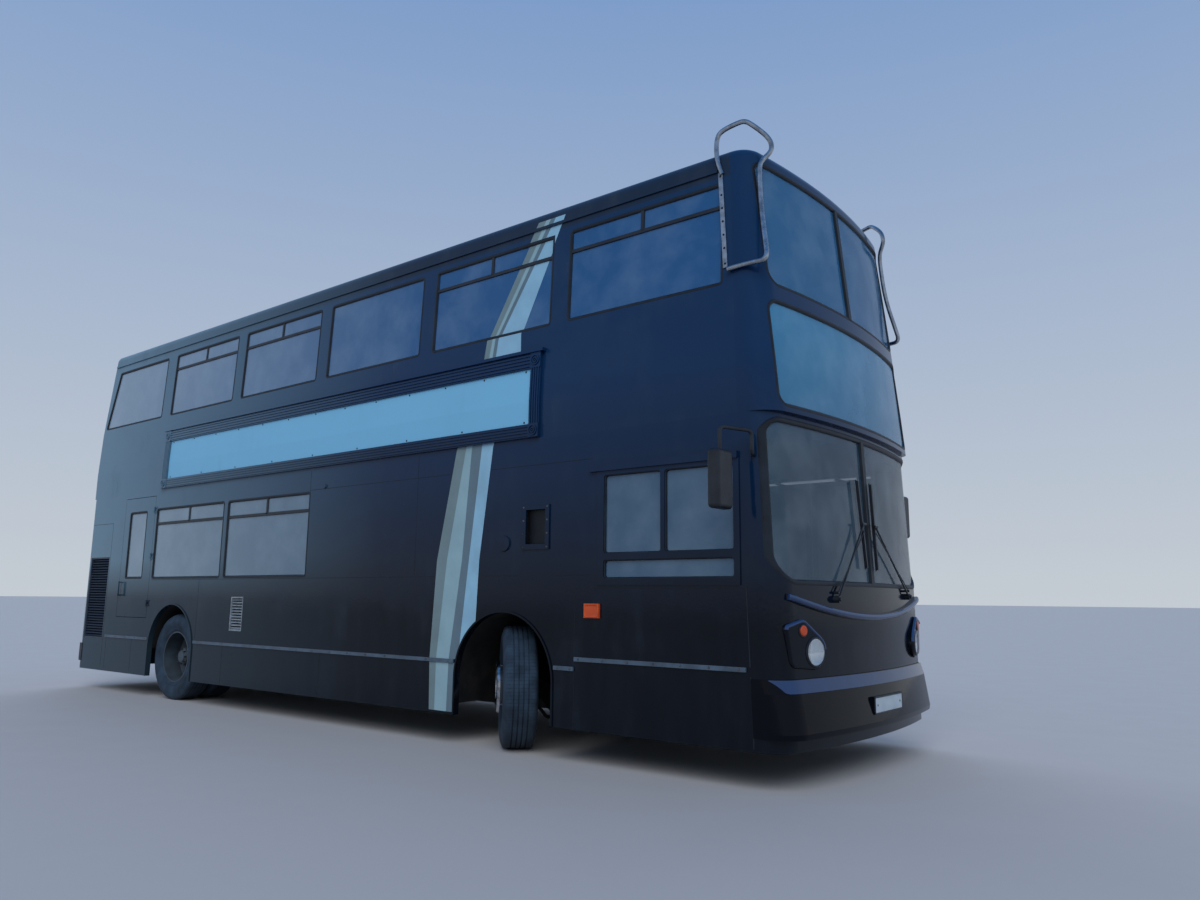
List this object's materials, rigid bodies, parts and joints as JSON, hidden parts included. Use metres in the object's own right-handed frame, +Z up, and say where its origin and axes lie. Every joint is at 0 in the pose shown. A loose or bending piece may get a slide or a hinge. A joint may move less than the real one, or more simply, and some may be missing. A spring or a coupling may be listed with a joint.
{
  "type": "double decker bus",
  "caption": "Two-deck city bus with hopper windows, a bowed front, a blank side panel in a reeded frame, steered front wheels and gliding entrance doors",
  "frame": {"origin": "On the ground under the middle of the body's length and width", "axes": "+X points forward along the bus, +Y to its left, +Z up"},
  "size_m": [10.35, 3.37, 4.535],
  "materials": {
    "body_paint": "gloss dark navy",
    "trim_dark": "satin dark grey",
    "panel_white": "semi-gloss white",
    "tinted_glass": "dark tint",
    "rubber_tyre": "dusty",
    "wheel_grey": "worn semi-gloss",
    "chassis_black": "satin",
    "cast_grey": "rough",
    "floor_covering": "matte",
    "lamp_clear": "clear lens over a reflector",
    "lamp_amber": "amber lens",
    "lamp_red": "red lens",
    "bright_steel": "brushed",
    "seat_cloth": "woven",
    "louvre_metal": "painted slats",
    "interior_grey": "matte"
  },
  "bodies": {
    "body": {"chassis_frame": "chassis_black", "engine": "cast_grey", "lower_floor": "floor_covering", "rear_floor": "floor_covering", "front_wheel_boxes": "interior_grey", "rear_wheel_boxes": "interior_grey", "upper_floor": "floor_covering", "staircase": "interior_grey", "roof": "body_paint", "offside_lower_panel": "body_paint", "nearside_lower_panel": "body_paint", "offside_upper_panel": "body_paint", "nearside_upper_panel": "body_paint", "front_lower_panel": "body_paint", "front_dome": "body_paint", "rear_lower_panel": "body_paint", "rear_upper_panel": "body_paint", "front_bumper": "body_paint", "rear_bumper": "trim_dark", "front_glass": "tinted_glass", "destination_glass": "tinted_glass", "offside_glass": "tinted_glass", "nearside_glass": "tinted_glass", "panel_frame": "body_paint", "blank_panel": "panel_white", "side_louvres": "louvre_metal", "side_trim": "trim_dark", "headlamps": "lamp_clear", "turn_lamps": "lamp_amber", "tail_lamps": "lamp_red", "mirrors": "trim_dark", "branch_guards": "bright_steel", "front_axle": "chassis_black", "rear_axle": "chassis_black", "cab": "interior_grey", "driver_seat": "seat_cloth", "wipers": "trim_dark"},
    "front_right_steering": {"front_right_knuckle": "chassis_black"},
    "front_left_steering": {"front_left_knuckle": "chassis_black"},
    "track_rod": {"track_rod": "chassis_black"},
    "front_right_wheel": {"front_right_rim": "wheel_grey", "front_right_tyre": "rubber_tyre"},
    "front_left_wheel": {"front_left_rim": "wheel_grey", "front_left_tyre": "rubber_tyre"},
    "rear_right_wheels": {"rear_right_rims": "wheel_grey", "rear_right_tyres": "rubber_tyre"},
    "rear_left_wheels": {"rear_left_rims": "wheel_grey", "rear_left_tyres": "rubber_tyre"},
    "entrance_front_arms": {"entrance_front_arms": "trim_dark"},
    "entrance_rear_arms": {"entrance_rear_arms": "trim_dark"},
    "entrance_front_leaf": {"entrance_front_leaf": "body_paint", "entrance_front_glass": "tinted_glass"},
    "entrance_rear_leaf": {"entrance_rear_leaf": "body_paint", "entrance_rear_glass": "tinted_glass"},
    "emergency_door": {"emergency_door": "body_paint", "emergency_door_glass": "tinted_glass"},
    "engine_lid": {"engine_lid": "body_paint"},
    "rear_exit": {"rear_exit": "tinted_glass"},
    "steering_wheel": {"steering_wheel": "trim_dark"}
  },
  "joints": [
    {"name": "front_right_steer", "type": "hinge", "parent": "body", "child": "front_right_steering", "pos_m": [2.555, -0.94, 0.4785], "axis": [0, 0, 1], "range_deg": [-2, 88]},
    {"name": "front_left_steer", "type": "hinge", "parent": "body", "child": "front_left_steering", "pos_m": [2.555, 0.94, 0.4785], "axis": [0, 0, 1], "range_deg": [-2, 88]},
    {"name": "track_rod_turn", "type": "hinge", "parent": "front_right_steering", "child": "track_rod", "pos_m": [2.4672, -0.8582, 0.29], "axis": [0, 0, 1], "range_deg": [-88, 2]},
    {"name": "front_right_wheel_spin", "type": "hinge", "parent": "front_right_steering", "child": "front_right_wheel", "pos_m": [2.4868, -1.0131, 0.4785], "axis": [0.682, 0.7314, 0], "continuous": true},
    {"name": "front_left_wheel_spin", "type": "hinge", "parent": "front_left_steering", "child": "front_left_wheel", "pos_m": [2.6232, 1.0131, 0.4785], "axis": [0.682, 0.7314, 0], "continuous": true},
    {"name": "rear_right_wheel_spin", "type": "hinge", "parent": "body", "child": "rear_right_wheels", "pos_m": [-2.755, -0.927, 0.4785], "axis": [0, 1, 0], "continuous": true},
    {"name": "rear_left_wheel_spin", "type": "hinge", "parent": "body", "child": "rear_left_wheels", "pos_m": [-2.755, 0.927, 0.4785], "axis": [0, 1, 0], "continuous": true},
    {"name": "entrance_front_arm", "type": "hinge", "parent": "body", "child": "entrance_front_arms", "pos_m": [4.661, 1.165, 1.3], "axis": [0, 0, 1], "range_deg": [0, 85]},
    {"name": "entrance_front_leaf_turn", "type": "hinge", "parent": "entrance_front_arms", "child": "entrance_front_leaf", "pos_m": [4.3285, 1.165, 1.3], "axis": [0, 0, 1], "range_deg": [-170, 0]},
    {"name": "entrance_rear_arm", "type": "hinge", "parent": "body", "child": "entrance_rear_arms", "pos_m": [3.409, 1.165, 1.3], "axis": [0, 0, 1], "range_deg": [-85, 0]},
    {"name": "entrance_rear_leaf_turn", "type": "hinge", "parent": "entrance_rear_arms", "child": "entrance_rear_leaf", "pos_m": [3.7415, 1.165, 1.3], "axis": [0, 0, 1], "range_deg": [0, 170]},
    {"name": "emergency_door_hinge", "type": "hinge", "parent": "body", "child": "emergency_door", "pos_m": [-3.369, -1.289, 1.64], "axis": [0, 0, 1], "range_deg": [0, 100]},
    {"name": "engine_lid_hinge", "type": "hinge", "parent": "body", "child": "engine_lid", "pos_m": [-5.144, 0, 1.64], "axis": [0, 1, 0], "range_deg": [0, 80]},
    {"name": "rear_exit_hinge", "type": "hinge", "parent": "body", "child": "rear_exit", "pos_m": [-5.0867, 0, 4.0616], "axis": [0, 1, 0], "range_deg": [0, 75]},
    {"name": "steering_wheel_turn", "type": "hinge", "parent": "body", "child": "steering_wheel", "pos_m": [4.295, -0.75, 1.33], "axis": [-0.4226, 0, 0.9063], "range_deg": [-64, 1440]}
  ],
  "couplings": [
    {"joint": "front_left_steer", "follows": "front_right_steer", "ratio": 1},
    {"joint": "track_rod_turn", "follows": "front_right_steer", "ratio": -1},
    {"joint": "steering_wheel_turn", "follows": "front_right_steer", "ratio": 16},
    {"joint": "entrance_front_leaf_turn", "follows": "entrance_front_arm", "ratio": -2},
    {"joint": "entrance_rear_arm", "follows": "entrance_front_arm", "ratio": -1},
    {"joint": "entrance_rear_leaf_turn", "follows": "entrance_front_arm", "ratio": 2}
  ]
}
